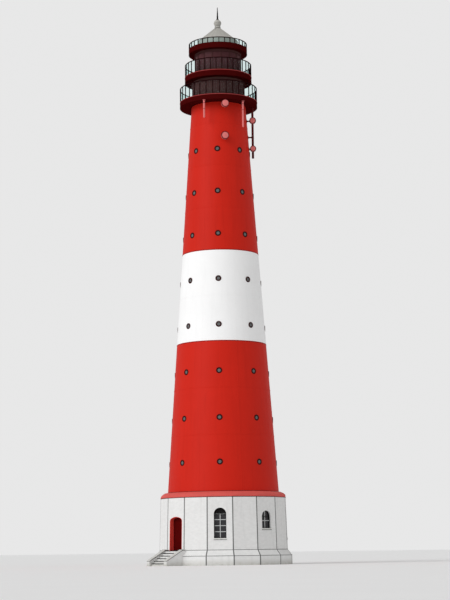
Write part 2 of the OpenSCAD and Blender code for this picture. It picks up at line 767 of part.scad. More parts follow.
plinth();
ground_floor();
plain_wall_bays();
large_window_bays();
small_window_bays();
door_jamb_left();
door_jamb_right();
door_head();
base_skirt();
steps_core();
step_treads();
cheek_wall_left();
cheek_wall_right();
door_lining();
door_frame();
door_pins();
door_leaf();
door_straps();
door_handle();
window_frames();
window_glass();
window_sills();
shaft_ring_1();
shaft_ring_2();
shaft_ring_3();
shaft_ring_4();
shaft_ring_5();
shaft_ring_6();
shaft_ring_7();
shaft_ring_8();
support_ring();
storey_floors();
porthole_frames();
porthole_glass();
lower_gallery();
lower_railing();
lower_railing_glass();
service_room_wall();
middle_gallery();
middle_railing();
middle_railing_glass();
lantern_frame();
lantern_glass();
roof_gallery();
roof_railing();
roof_railing_glass();
roof_cone();
ventilator_neck();
ventilator_ball();
lightning_rod();
rod_antennas();
front_dishes();
side_mast();
side_dishes();
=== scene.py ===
"""Looks of the lighthouse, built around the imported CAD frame. Metres, +Z up, the door faces -Y."""

import json
import math

import bmesh
import bpy
from mathutils import Matrix, Vector


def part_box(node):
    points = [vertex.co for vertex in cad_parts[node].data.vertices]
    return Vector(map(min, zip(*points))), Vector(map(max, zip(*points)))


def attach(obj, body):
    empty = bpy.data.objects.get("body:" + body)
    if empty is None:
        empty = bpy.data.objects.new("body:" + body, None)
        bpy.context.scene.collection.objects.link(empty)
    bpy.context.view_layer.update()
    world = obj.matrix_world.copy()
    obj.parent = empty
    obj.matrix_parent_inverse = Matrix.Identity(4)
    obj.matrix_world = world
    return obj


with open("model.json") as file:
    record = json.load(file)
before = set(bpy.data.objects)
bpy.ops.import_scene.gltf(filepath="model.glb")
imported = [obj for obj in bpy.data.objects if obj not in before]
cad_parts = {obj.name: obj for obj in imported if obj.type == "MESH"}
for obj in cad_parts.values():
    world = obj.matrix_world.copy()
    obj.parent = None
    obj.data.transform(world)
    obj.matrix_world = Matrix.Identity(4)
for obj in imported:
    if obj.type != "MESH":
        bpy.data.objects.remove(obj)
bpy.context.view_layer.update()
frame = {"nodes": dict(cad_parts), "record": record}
BAYS = 16
BAY = math.tau / BAYS
TOWER = "tower"
DOOR = "door"


# ---- Sizes read from the frame ----

def low(node):
    """The lower corner of a node's box."""
    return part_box(node)[0]


def high(node):
    """The upper corner of a node's box."""
    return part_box(node)[1]


RINGS = [f"shaft_ring_{i}" for i in range(1, 9)] + ["support_ring"]
RING_Z = [low(n).z for n in RINGS] + [high(RINGS[-1]).z]
SHAFT_FOOT_R = high(RINGS[0]).x
TAPER = (SHAFT_FOOT_R - high("support_ring").x) / (RING_Z[-2] - RING_Z[0])
PLINTH_Z = high("plinth").z
WALL_TOP = high("plain_wall_bays").z


def shaft_r(z):
    """Outer radius of the shaft's cone at a height."""
    return SHAFT_FOOT_R - TAPER * (z - RING_Z[0])


# The sizes below repeat part.scad's, in metres.
WALL_R = 2.326
WALL_LEAN = 0.050
FACE_R = WALL_R * math.cos(BAY / 2)
FACE_LEAN = WALL_LEAN / 1.858
PLINTH_FOOT_H = 0.326
PLINTH_R = 2.487
WINDOW_HALF = 0.217
WINDOW_RISE = 0.205
FRAME_BAR = 0.016
FRAME_DEPTH = 0.040
FRAME_RECESS = 0.060
SILL_H = 0.044
LARGE_WINDOWS = (45, 135, 225, 315)
SMALL_WINDOWS = (90, 180, 270)
LARGE_CROWN, LARGE_H = PLINTH_Z + 1.456, 1.096
SMALL_CROWN, SMALL_H = PLINTH_Z + 1.351, 0.662
PORTHOLES = 8
PORTHOLE_R = 0.107
PORTHOLE_GLASS_R = 0.065
PORTHOLE_UP = 0.600
FIRST_PORTHOLE_Z = WALL_TOP + 1.212
DOOR_W = 0.665
LINING_T = 0.012
RISERS = 6
GOING = 0.125
STEPS_W = 0.780
STEPS_FRONT = low("steps_core").y
CHEEK_T = 0.150
CHEEK_END_H = 0.180
CHEEK_UP = 0.020
DISH_R = 0.142
DISH_T = 0.090
DISH_ANGLE = 58.5
DISH_ARM = 0.100
LOWER_DISH_DROP = 1.330
WHIP_ANGLES = (26, 88)
MAST_ANGLE = 135
MAST_R = 0.043
MAST_ARM = 0.138
MAST_BRACKETS = (0.345, 0.795, 1.415)
SIDE_DISHES = ((0.345, 0.112), (1.415, 0.120))
SIDE_DISH_ANGLE = MAST_ANGLE - 84
CURB_H = 0.292
CONE_TOP_R = 0.116
SERVICE_LIP = 0.012
LANTERN_SILL_UP = 0.190
LANTERN_HEAD_DOWN = 0.090
RAILINGS = (("lower", 36, 0), ("middle", 36, 5), ("roof", 32, 5.625))


def gallery(node):
    """Radius, deck height and soffit height of a gallery."""
    return high(node).x, high(node).z, low(node).z


LOWER_R, LOWER_DECK, LOWER_SOFFIT = gallery("lower_gallery")
MIDDLE_R, MIDDLE_DECK, MIDDLE_SOFFIT = gallery("middle_gallery")
ROOF_R, ROOF_DECK, ROOF_SOFFIT = gallery("roof_gallery")
HANG_R = LOWER_R - 0.045
CONE_R, NECK_Z = high("roof_cone").x, high("roof_cone").z
CONE_Z = ROOF_DECK + CURB_H
BALL_Z = (low("ventilator_ball").z + high("ventilator_ball").z) / 2
BALL_R = (high("ventilator_ball").z - low("ventilator_ball").z) / 2


# ---- Mesh making ----

BAND_EASE = 0.3
STUD_SIDES = 6
STUD_PROFILE = ((1.45, -0.3), (1.45, 0.2), (1.0, 0.25), (1.0, 0.75), (0.55, 1.0))


def at(angle, side, out, up):
    """The point to the side of a compass angle, out from the axis and up, all in metres."""
    turn = math.radians(angle)
    return Vector((math.cos(turn) * side + math.sin(turn) * out,
                   math.sin(turn) * side - math.cos(turn) * out, up))


def loft(bm, rings, closed=False):
    """Skins a row of point rings that have equally many points; the ends are capped unless it closes."""
    rows = [[bm.verts.new(point) for point in ring] for ring in rings]
    count = len(rows[0])
    pairs = list(zip(rows, rows[1:])) + ([(rows[-1], rows[0])] if closed else [])
    for first, second in pairs:
        for i in range(count):
            bm.faces.new((first[i], first[(i + 1) % count], second[(i + 1) % count], second[i]))
    if not closed:
        bm.faces.new(rows[0][::-1])
        bm.faces.new(rows[-1])


def lathe(bm, profile, segments=24, centre=(0, 0, 0), axis=(0, 0, 1)):
    """Turns a closed outline of (radius, height) points about an axis."""
    axis = Vector(axis).normalized()
    across = axis.orthogonal().normalized() if abs(axis.z) < 0.99 else Vector((1, 0, 0))
    other = axis.cross(across)
    centre = Vector(centre)
    rings = []
    for i in range(segments):
        turn = math.tau * i / segments
        spoke = across * math.cos(turn) + other * math.sin(turn)
        rings.append([centre + spoke * r + axis * h for r, h in profile])
    loft(bm, rings, closed=True)


def rounded_band(r_in, r_out, z0, z1):
    """Outline of a hoop whose outer edges are eased."""
    cut = min(z1 - z0, r_out - r_in) * BAND_EASE
    return [(r_in, z0), (r_out - cut, z0), (r_out, z0 + cut),
            (r_out, z1 - cut), (r_out - cut, z1), (r_in, z1)]


def bead(r, z, radius, points=8):
    """Outline of a round bead at a radius and height."""
    return [(r + radius * math.cos(math.tau * i / points), z + radius * math.sin(math.tau * i / points))
            for i in range(points)]


def stud(bm, foot, direction, radius, height):
    """A bolt head: a washer and a domed head, with its foot on a surface."""
    direction = Vector(direction).normalized()
    across = direction.orthogonal().normalized()
    other = direction.cross(across)
    turns = [math.tau * i / STUD_SIDES for i in range(STUD_SIDES)]
    rings = []
    for r, h in STUD_PROFILE:
        middle = Vector(foot) + direction * h * height
        rings.append([middle + (across * math.cos(turn) + other * math.sin(turn)) * r * radius
                      for turn in turns])
    loft(bm, rings)


def block(bm, angle, side, out, up, size, ease=0.002):
    """A block with eased edges, facing along a compass angle; side, out and up give its middle."""
    half = [s / 2 for s in size]
    rings = []
    for height, inset in ((-half[2], ease), (-half[2] + ease, 0), (half[2] - ease, 0), (half[2], ease)):
        a, b = half[0] - inset, half[1] - inset
        rings.append([at(angle, side + u, out + v, up + height) for u, v in (
            (-a + ease, -b), (a - ease, -b), (a, -b + ease), (a, b - ease),
            (a - ease, b), (-a + ease, b), (-a, b - ease), (-a, -b + ease))])
    loft(bm, rings)


def piece(name, bm, slot, body=TOWER, material=None):
    """Makes an object of a mesh, rides it on a body and gives it a slot's finish."""
    bmesh.ops.recalc_face_normals(bm, faces=bm.faces)
    mesh = bpy.data.meshes.new(name)
    bm.to_mesh(mesh)
    bm.free()
    mesh.materials.append(material or MATERIALS[slot])
    obj = bpy.data.objects.new(name, mesh)
    bpy.context.scene.collection.objects.link(obj)
    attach(obj, body)


# ---- Materials ----

def new_material(name):
    """An empty material, its node maker, its linker and its main shader."""
    material = bpy.data.materials.new(name)
    material.use_nodes = True
    tree = material.node_tree
    shader = tree.nodes["Principled BSDF"]

    def node(kind, **settings):
        made = tree.nodes.new(kind)
        for key, value in settings.items():
            setattr(made, key, value)
        return made

    return material, node, tree.links.new, shader


def srgb(r, g, b):
    """Linear colour of an sRGB one with channels from 0 to 255."""
    def linear(c):
        c /= 255
        return c / 12.92 if c <= 0.04045 else ((c + 0.055) / 1.055) ** 2.4
    return (linear(r), linear(g), linear(b), 1)


def shade(colour, factor):
    """A colour made darker or lighter by a factor."""
    return (*(min(1, c * factor) for c in colour[:3]), 1)


def noise(node, link, coords, scale, detail=4, rough=0.55, stretch=(1, 1, 1)):
    """A noise texture on the object's own coordinates, stretched along its axes."""
    mapping = node("ShaderNodeMapping")
    mapping.inputs["Scale"].default_value = stretch
    texture = node("ShaderNodeTexNoise")
    texture.inputs["Scale"].default_value = scale
    texture.inputs["Detail"].default_value = detail
    texture.inputs["Roughness"].default_value = rough
    link(coords, mapping.inputs["Vector"])
    link(mapping.outputs["Vector"], texture.inputs["Vector"])
    return texture.outputs["Fac"]


def ramp(node, link, value, low_at, high_at):
    """0 where the value is under one number, rising to 1 where it is over another."""
    made = node("ShaderNodeValToRGB")
    made.color_ramp.elements[0].position = low_at
    made.color_ramp.elements[1].position = high_at
    link(value, made.inputs["Fac"])
    return made.outputs["Color"]


def mix(node, link, factor, first, second):
    """Blends two colours, each a tuple or a socket, by a socket or a number."""
    made = node("ShaderNodeMix", data_type="RGBA")
    for socket, value in ((made.inputs[0], factor), (made.inputs[6], first), (made.inputs[7], second)):
        if isinstance(value, (tuple, float, int)):
            socket.default_value = value
        else:
            link(value, socket)
    return made.outputs[2]


def math_node(node, link, operation, first, second=0.5):
    """The result of a sum on sockets or numbers."""
    made = node("ShaderNodeMath", operation=operation)
    for socket, value in zip(made.inputs, (first, second)):
        if isinstance(value, (float, int)):
            socket.default_value = value
        else:
            link(value, socket)
    return made.outputs[0]


def near(node, link, value, at, width):
    """1 where value lies within width of a number, falling to 0 at the edges."""
    offset = math_node(node, link, "ABSOLUTE", math_node(node, link, "SUBTRACT", value, at))
    share = math_node(node, link, "DIVIDE", offset, width)
    return math_node(node, link, "SUBTRACT", 1.0, math_node(node, link, "MINIMUM", share, 1.0))


def bump(node, link, shader, height, distance, strength=0.6):
    """Relief in the shading, from a height and the distance in metres that it stands for."""
    made = node("ShaderNodeBump")
    made.inputs["Strength"].default_value = strength
    made.inputs["Distance"].default_value = distance
    link(height, made.inputs["Height"])
    link(made.outputs["Normal"], shader.inputs["Normal"])


def finish_roughness(node, link, shader, value, centre, spread):
    """Roughness that varies a little around its centre."""
    scaled = math_node(node, link, "MULTIPLY_ADD", value, spread)
    scaled.node.inputs[2].default_value = centre - spread / 2
    link(scaled, shader.inputs["Roughness"])


def paint(name, colour, grain=40.0, streaks=0.10, patches=0.08, gloss=0.08):
    """Paint over metal: faint brush and roller grain, rain streaks down it, and slightly faded patches."""
    material, node, link, shader = new_material(name)
    coords = node("ShaderNodeTexCoord").outputs["Object"]
    fine = noise(node, link, coords, grain)
    broad = noise(node, link, coords, 0.9, detail=3)
    rain = noise(node, link, coords, 3.0, detail=5, stretch=(2.4, 2.4, 0.12))
    faded = mix(node, link, ramp(node, link, broad, 0.35, 0.72),
                shade(colour, 1 - patches), shade(colour, 1 + patches))
    streaked = mix(node, link, ramp(node, link, rain, 0.52, 0.80), faded, shade(colour, 1 - 2.2 * streaks))
    grained = mix(node, link, math_node(node, link, "MULTIPLY", fine, 0.12), streaked, shade(colour, 1.12))
    link(grained, shader.inputs["Base Color"])
    finish_roughness(node, link, shader, fine, 0.5, 0.16)
    shader.inputs["Specular IOR Level"].default_value = gloss
    bump(node, link, shader, fine, 0.0012)
    return material


def bay_corner(node, link, x, y):
    """1 along the upright corners between bays, falling to 0 beside them."""
    turns = math_node(node, link, "DIVIDE", math_node(node, link, "ARCTAN2", y, x), BAY)
    share = math_node(node, link, "FRACT", math_node(node, link, "ADD", turns, BAYS))
    return near(node, link, share, 0.5, CORNER_LINE)


def render_coat(name, colour, levels=(), corners=False):
    """White painted render: trowel marks, sand and a darker tone towards the ground, with dark joints at set
    levels and, if asked, along the bay corners."""
    material, node, link, shader = new_material(name)
    coords = node("ShaderNodeTexCoord").outputs["Object"]
    sand = noise(node, link, coords, 90.0, detail=6)
    trowel = noise(node, link, coords, 7.0, detail=5, stretch=(1, 1, 1.8))
    rain = noise(node, link, coords, 3.5, detail=5, stretch=(2.0, 2.0, 0.2))
    split = node("ShaderNodeSeparateXYZ")
    link(coords, split.inputs[0])
    x, y, z = (split.outputs[i] for i in range(3))
    mottled = mix(node, link, ramp(node, link, trowel, 0.35, 0.7), shade(colour, 0.95), shade(colour, 1.03))
    rained = mix(node, link, ramp(node, link, rain, 0.55, 0.85), mottled, shade(colour, 0.86))
    # Darker towards the ground, in patches, fading out at a set height.
    ground = math_node(node, link, "SUBTRACT", 1.0, math_node(node, link, "DIVIDE", z, GROUND_DARK_H))
    toward_ground_dark = math_node(node, link, "MULTIPLY", math_node(node, link, "MAXIMUM", ground, 0.0), trowel)
    ground_darkened = mix(node, link, toward_ground_dark, rained, srgb(150, 146, 132))
    joints = [near(node, link, z, level, LEVEL_LINE) for level in levels]
    if corners:
        joints.append(bay_corner(node, link, x, y))
    joint = 0.0
    for line in joints:
        joint = math_node(node, link, "MAXIMUM", joint, math_node(node, link, "GREATER_THAN", line, 0.001))
    dark = math_node(node, link, "MULTIPLY", joint, 0.86)
    link(mix(node, link, dark, ground_darkened, srgb(52, 54, 54)), shader.inputs["Base Color"])
    finish_roughness(node, link, shader, sand, 0.82, 0.14)
    shader.inputs["Specular IOR Level"].default_value = 0.25
    bump(node, link, shader, math_node(node, link, "MULTIPLY_ADD", trowel, 0.6), 0.004, 0.5)
    return material


def stone(name, colour):
    """Sawn stone: mottled and pitted."""
    material, node, link, shader = new_material(name)
    coords = node("ShaderNodeTexCoord").outputs["Object"]
    coarse = noise(node, link, coords, 9.0, detail=6)
    fine = noise(node, link, coords, 120.0, detail=4)
    base = mix(node, link, ramp(node, link, coarse, 0.3, 0.75), shade(colour, 0.86), shade(colour, 1.1))
    link(mix(node, link, math_node(node, link, "MULTIPLY", fine, 0.25), base, shade(colour, 0.75)),
         shader.inputs["Base Color"])
    finish_roughness(node, link, shader, coarse, 0.78, 0.2)
    bump(node, link, shader, fine, 0.003)
    return material


def wood_paint(name, colour, gloss=0.05):
    """Painted boards: upright grain under the paint and a soft sheen."""
    material, node, link, shader = new_material(name)
    coords = node("ShaderNodeTexCoord").outputs["Object"]
    grain = noise(node, link, coords, 26.0, detail=7, rough=0.65, stretch=(3, 3, 0.16))
    patches = noise(node, link, coords, 4.0, detail=3)
    base = mix(node, link, ramp(node, link, patches, 0.35, 0.7), shade(colour, 0.9), shade(colour, 1.1))
    link(mix(node, link, ramp(node, link, grain, 0.45, 0.75), base, shade(colour, 0.72)),
         shader.inputs["Base Color"])
    finish_roughness(node, link, shader, grain, 0.5, 0.18)
    shader.inputs["Specular IOR Level"].default_value = gloss
    bump(node, link, shader, grain, 0.002)
    return material


def dark_glass(name, colour, gloss=0.25):
    """Glass coloured dark as painted shade of the unlit room behind it, with a faint unevenness and dust."""
    material, node, link, shader = new_material(name)
    coords = node("ShaderNodeTexCoord").outputs["Object"]
    wave = noise(node, link, coords, 5.0, detail=2)
    dust = noise(node, link, coords, 30.0, detail=5)
    link(mix(node, link, ramp(node, link, dust, 0.45, 0.85), colour, shade(colour, 1.5)),
         shader.inputs["Base Color"])
    finish_roughness(node, link, shader, dust, 0.16, 0.12)
    shader.inputs["Specular IOR Level"].default_value = gloss
    bump(node, link, shader, wave, 0.002, 0.25)
    return material


def pale_glass(name, tint):
    """Thin railing glass: clear with a pale tint, and a little dust that catches light."""
    material, node, link, shader = new_material(name)
    coords = node("ShaderNodeTexCoord").outputs["Object"]
    dust = noise(node, link, coords, 14.0, detail=5)
    link(mix(node, link, ramp(node, link, dust, 0.35, 0.8), shade(tint, 0.9), tint),
         shader.inputs["Base Color"])
    finish_roughness(node, link, shader, dust, 0.2, 0.1)
    shader.inputs["Specular IOR Level"].default_value = 0.4
    clear = node("ShaderNodeBsdfTransparent")
    link(mix(node, link, ramp(node, link, dust, 0.5, 0.9), tint, shade(tint, 0.985)), clear.inputs["Color"])
    blend = node("ShaderNodeMixShader")
    cover = math_node(node, link, "MULTIPLY_ADD", dust, 0.006)
    cover.node.inputs[2].default_value = 0.001
    link(cover, blend.inputs[0])
    link(clear.outputs[0], blend.inputs[1])
    link(shader.outputs[0], blend.inputs[2])
    output = next(n for n in material.node_tree.nodes if n.type == "OUTPUT_MATERIAL")
    link(blend.outputs[0], output.inputs["Surface"])
    return material


def bare_metal(name, colour, roughness, metal=1.0):
    """Metal with fine scratches and dull spots."""
    material, node, link, shader = new_material(name)
    coords = node("ShaderNodeTexCoord").outputs["Object"]
    spots = noise(node, link, coords, 22.0, detail=5)
    scratches = noise(node, link, coords, 80.0, detail=3, stretch=(1, 1, 6))
    link(mix(node, link, ramp(node, link, spots, 0.35, 0.75), shade(colour, 0.8), shade(colour, 1.1)),
         shader.inputs["Base Color"])
    finish_roughness(node, link, shader, spots, roughness, 0.2)
    shader.inputs["Metallic"].default_value = metal
    bump(node, link, shader, scratches, 0.0006)
    return material


# Half widths of the dark joints: at the corners in bays, at the levels in metres.
CORNER_LINE = 0.022
LEVEL_LINE = 0.010
# Height in metres up to which the render turns darker towards the ground.
GROUND_DARK_H = 0.22
RED = srgb(200, 36, 22)
WHITE = srgb(245, 245, 245)
WALL = srgb(226, 226, 225)

MATERIALS = {
    "shaft_red": paint("ShaftRed", RED, streaks=0.04, patches=0.03),
    "shaft_white": paint("ShaftWhite", WHITE, streaks=0.02, patches=0.02),
    "skirt_red": paint("SkirtRed", srgb(212, 90, 84), streaks=0.04, patches=0.04),
    "white_render": render_coat("WhiteRender", WALL, (PLINTH_Z, PLINTH_FOOT_H), corners=True),
    "grey_stone": stone("GreyStone", srgb(206, 206, 202)),
    # Both are red paint: the lining's lighter red is painted light on the lit reveal, and the door's dark red
    # is painted shade of the deep recess.
    "lining_red": wood_paint("LiningRedPaintedLight", srgb(236, 78, 70)),
    "door_red": wood_paint("DoorRedPaintedShade", srgb(82, 9, 9), gloss=0.0),
    "hinge_iron": bare_metal("HingeIron", srgb(46, 44, 44), 0.55, 0.8),
    "brass": bare_metal("Brass", srgb(188, 160, 96), 0.32),
    "frame_white": wood_paint("FrameWhite", srgb(222, 222, 218)),
    "frame_dark": wood_paint("FrameDark", srgb(30, 29, 29), gloss=0.02),
    "dark_glass": dark_glass("DarkGlass", srgb(50, 50, 52)),
    "floor_plate": paint("FloorPlate", srgb(120, 120, 118)),
    "porthole_iron": paint("PortholeIron", srgb(60, 16, 14), grain=60),
    "gallery_red": paint("GalleryRed", srgb(66, 9, 9), streaks=0.05, patches=0.05, gloss=0.0),
    "railing_dark": paint("RailingDark", srgb(34, 11, 12), grain=80, gloss=0.0),
    "railing_glass": pale_glass("RailingGlass", (0.915, 0.992, 0.988, 1)),
    "drum_brown": paint("DrumBrown", srgb(80, 50, 49), gloss=0.0),
    "roof_grey": paint("RoofGrey", srgb(176, 174, 168), streaks=0.05, patches=0.04),
    "rod_black": paint("RodBlack", srgb(16, 15, 15), gloss=0.02),
    "antenna_pink": paint("AntennaPink", srgb(222, 122, 120), grain=70, streaks=0.03),
    "mast_red": paint("MastRed", srgb(82, 14, 14), grain=70),
}
PLAIN_RENDER = render_coat("StepRender", WALL)
LANTERN_GLASS = dark_glass("LanternGlass", srgb(80, 47, 50), gloss=0.02)
PORTHOLE_GLASS = dark_glass("PortholeGlass", srgb(96, 98, 98), gloss=0.3)
BAR_GREY = wood_paint("BarGrey", srgb(196, 198, 198))
LINE_DARK = paint("LineDark", srgb(70, 20, 18), grain=60)
BAND_BROWN = paint("BandBrown", srgb(86, 58, 54), gloss=0.0)
# A lighter red for the deck nosings: a painted highlight along the deck edges.
NOSING_HIGHLIGHT_RED = paint("NosingPaintedHighlight", srgb(158, 62, 60), streaks=0.03, gloss=0.05)
# Nodes whose look differs from their slot's.
NODE_LOOKS = {"steps_core": PLAIN_RENDER, "cheek_wall_left": PLAIN_RENDER, "cheek_wall_right": PLAIN_RENDER,
              "lantern_glass": LANTERN_GLASS, "porthole_glass": PORTHOLE_GLASS}


def dress_frame():
    """Gives each CAD node the material of its slot."""
    slots = {row["node"]: row["material_slot"] for row in frame["record"]["subparts"]}
    for name, obj in frame["nodes"].items():
        material = NODE_LOOKS.get(name) or MATERIALS[slots[name]]
        if not obj.material_slots:
            obj.data.materials.append(material)
        for slot in obj.material_slots:
            slot.material = material


dress_frame()


# ---- Shaft ----

def porthole_heights():
    """Heights of the rows of portholes, one in each ring."""
    return [FIRST_PORTHOLE_Z] + [z + PORTHOLE_UP for z in RING_Z[1:8]]


def shaft_joints():
    """A bolted strap round every joint between rings, in the rings' colour, with its bolt heads."""
    for k, z in enumerate(RING_Z[1:-1], start=1):
        bm = bmesh.new()
        r = shaft_r(z)
        lathe(bm, rounded_band(r - 0.004, r + 0.003, z - 0.020, z + 0.020), 192)
        for i in range(80):
            angle = 4.5 * i + 2.25
            stud(bm, at(angle, 0, r + 0.003, z), at(angle, 0, 1, 0), 0.006, 0.005)
        piece(f"ring_joint_{k}", bm, "shaft_white" if k == 4 else "shaft_red")


def band_lines():
    """The dark joints at both edges of the white band and where the shaft meets the shoulder."""
    bm = bmesh.new()
    for z in (RING_Z[3], RING_Z[5]):
        lathe(bm, rounded_band(shaft_r(z) - 0.003, shaft_r(z) + 0.006, z - 0.008, z + 0.008), 192)
    foot_z = high("base_skirt").z
    foot_r = shaft_r(foot_z)
    lathe(bm, rounded_band(foot_r - 0.003, foot_r + 0.010, foot_z - 0.002, foot_z + 0.014), 192)
    piece("band_lines", bm, "porthole_iron", material=LINE_DARK)


def plate_seams():
    """Upright lap seams between the plates of each ring, midway between the portholes."""
    for slot, rings in (("shaft_red", (0, 1, 2, 5, 6, 7, 8)), ("shaft_white", (3, 4))):
        bm = bmesh.new()
        for k in rings:
            z0, z1 = RING_Z[k] + 0.024, RING_Z[k + 1] - 0.024
            if k == 0:
                z0 = high("base_skirt").z + 0.02
            for i in range(PORTHOLES):
                angle = 45 * i + 22.5
                ends = []
                for z in (z0, z1):
                    r = shaft_r(z)
                    ends.append([at(angle, side, r + out, z) for side, out in (
                        (-0.016, -0.004), (0.016, -0.004), (0.016, 0.001), (0.013, 0.002),
                        (-0.013, 0.002), (-0.016, 0.001))])
                loft(bm, ends)
        piece(f"plate_seams_{slot}", bm, slot)


def porthole_rims():
    """A raised round bead and eight bolts on each porthole frame, and a thin seal round its glass."""
    rims, seals = bmesh.new(), bmesh.new()
    for z in porthole_heights():
        for i in range(PORTHOLES):
            angle = 45 * i
            face = shaft_r(z) + 0.008
            out = at(angle, 0, 1, 0)
            lathe(rims, bead(PORTHOLE_R - 0.007, 0, 0.006, 6), 32, at(angle, 0, face, z), out)
            lathe(rims, bead(PORTHOLE_GLASS_R + 0.005, 0, 0.004, 6), 28, at(angle, 0, face, z), out)
            lathe(seals, rounded_band(PORTHOLE_GLASS_R - 0.006, PORTHOLE_GLASS_R, -0.010, -0.002), 28,
                  at(angle, 0, face, z), out)
            for j in range(8):
                turn = math.tau * (j + 0.5) / 8
                middle = (PORTHOLE_R + PORTHOLE_GLASS_R) / 2
                foot = at(angle, middle * math.cos(turn), face, z + middle * math.sin(turn))
                stud(rims, foot, out, 0.006, 0.005)
    piece("porthole_rims", rims, "porthole_iron")
    piece("porthole_seals", seals, "frame_dark")


# ---- Masonry base ----

def face_out(z):
    """Distance from the axis to the leaning face of a bay at a height."""
    return FACE_R - (z - PLINTH_Z) * FACE_LEAN


def arch_half(z, half, crown, rise):
    """Half the width of an arched opening at a height."""
    arc_r = (half * half + rise * rise) / (2 * rise)
    up = z - (crown - arc_r)
    return half if z <= crown - rise else math.sqrt(max(arc_r * arc_r - up * up, 0))


def closed_head(bm, angle, out, spring, inner, crown):
    """The closed board in a large window's arch, with three rays on it."""
    rows = []
    for step in range(13):
        z = spring + (WINDOW_RISE - FRAME_BAR - 0.004) * step / 12
        half = arch_half(z, inner, crown - FRAME_BAR, WINDOW_RISE) - 0.001
        rows.append([at(angle, u, v, z) for u, v in (
            (-half, out - 0.004), (half, out - 0.004), (half, out + 0.004), (-half, out + 0.004))])
    loft(bm, rows)
    for turn in (45, 90, 135):
        ray = math.radians(turn)
        ends = []
        for reach in (0.03, 0.178):
            u, z = reach * math.cos(ray), spring + reach * math.sin(ray)
            du, dz = -math.sin(ray) * 0.006, math.cos(ray) * 0.006
            ends.append([at(angle, u + du, out + 0.004, z + dz), at(angle, u - du, out + 0.004, z - dz),
                         at(angle, u - du, out + 0.010, z - dz), at(angle, u + du, out + 0.010, z + dz)])
        loft(bm, ends)


def glazing_bars():
    """Bars over the glass: two by four panes under a closed head in the large windows, four in the
    small ones."""
    bars, heads = bmesh.new(), bmesh.new()
    bar, depth = 0.026, 0.022
    for angles, crown, height, levels, mullion_top in (
            (LARGE_WINDOWS, LARGE_CROWN, LARGE_H, 4, LARGE_CROWN - WINDOW_RISE),
            (SMALL_WINDOWS, SMALL_CROWN, SMALL_H, 0, SMALL_CROWN - FRAME_BAR)):
        out = face_out(crown) - FRAME_RECESS - FRAME_DEPTH + depth / 2
        bottom = crown - height + SILL_H + FRAME_BAR
        spring = crown - WINDOW_RISE
        inner = WINDOW_HALF - FRAME_BAR
        heights = [bottom + (spring - bottom) * i / levels for i in range(1, levels)] if levels else []
        heights.append(spring - FRAME_BAR / 2 if levels else crown - 0.351)
        for angle in angles:
            block(bars, angle, 0, out, (bottom + mullion_top) / 2,
                  (bar, depth, mullion_top - bottom), 0.003)
            for z in heights:
                block(bars, angle, 0, out + 0.001, z, (2 * inner, depth, bar), 0.003)
            if levels:
                closed_head(heads, angle, out, spring, inner, crown)
    piece("glazing_bars", bars, "frame_white", material=BAR_GREY)
    piece("window_heads", heads, "frame_dark")


def sill_drips():
    """A dark drip under each sill."""
    bm = bmesh.new()
    for angles, crown, height in ((LARGE_WINDOWS, LARGE_CROWN, LARGE_H),
                                  (SMALL_WINDOWS, SMALL_CROWN, SMALL_H)):
        bottom = crown - height
        for angle in angles:
            block(bm, angle, 0, face_out(bottom) + 0.006, bottom - 0.007,
                  (2 * WINDOW_HALF + 0.02, 0.020, 0.014), 0.003)
    piece("sill_drips", bm, "frame_dark")


def bay_hoop(name, slot, r, z, outline):
    """A sixteen-sided hoop that follows the bays, with an outline of (out, up) points."""
    bm = bmesh.new()
    for i in range(BAYS):
        ends = []
        for turn in (22.5 * i - 11.25, 22.5 * i + 11.25):
            ends.append([at(turn, 0, r + out, z + up) for out, up in outline])
        loft(bm, ends)
    piece(name, bm, slot)


def shoulder_seams():
    """Folded sheet seams up the red shoulder at the bay corners, its drip edge, and under it a dark strip
    that is a painted shadow of the edge.
    """
    bm = bmesh.new()
    skirt_low, skirt_high = WALL_TOP, high("base_skirt").z
    corner_r = WALL_R - WALL_LEAN / math.cos(BAY / 2)
    reach, rise = corner_r + 0.010 - shaft_r(skirt_low), skirt_high - skirt_low
    arc_r = (reach * reach + rise * rise) / (2 * rise)
    foot = shaft_r(skirt_low)
    for i in range(BAYS):
        angle = 22.5 * i + 11.25
        rows = []
        for step in range(9):
            r = foot + 0.02 + (corner_r - foot - 0.024) * step / 8
            z = skirt_high - arc_r + math.sqrt(arc_r * arc_r - (r - foot) ** 2)
            rows.append([at(angle, -0.008, r, z - 0.004), at(angle, 0.008, r, z - 0.004),
                         at(angle, 0.005, r, z + 0.007), at(angle, -0.005, r, z + 0.007)])
        loft(bm, rows)
    piece("shoulder_seams", bm, "skirt_red")
    bay_hoop("shoulder_edge", "skirt_red", corner_r, skirt_low, (
        (-0.010, -0.010), (0.006, -0.010), (0.008, -0.006), (0.008, 0.004), (-0.010, 0.004)))
    # A dark strip on the wall just under the drip edge: painted shadow.
    bay_hoop("shoulder_painted_shadow", "frame_dark", corner_r, skirt_low, (
        (-0.010, -0.030), (0.005, -0.030), (0.005, -0.011), (-0.010, -0.011)))


# ---- Entrance ----

def step_edges():
    """A dark metal nosing strip along every tread, with ribs let into its top."""
    bm = bmesh.new()
    riser = PLINTH_Z / RISERS
    for i in range(RISERS):
        front = -(STEPS_FRONT + i * GOING) + 0.008
        top = (i + 1) * riser
        for rib in range(3):
            block(bm, 0, 0, front - 0.007 - 0.008 * rib, top, (STEPS_W - 0.05, 0.005, 0.003), 0.001)
        block(bm, 0, 0, front, top - 0.012, (STEPS_W - 0.004, 0.004, 0.026), 0.001)
    piece("step_edges", bm, "frame_dark")


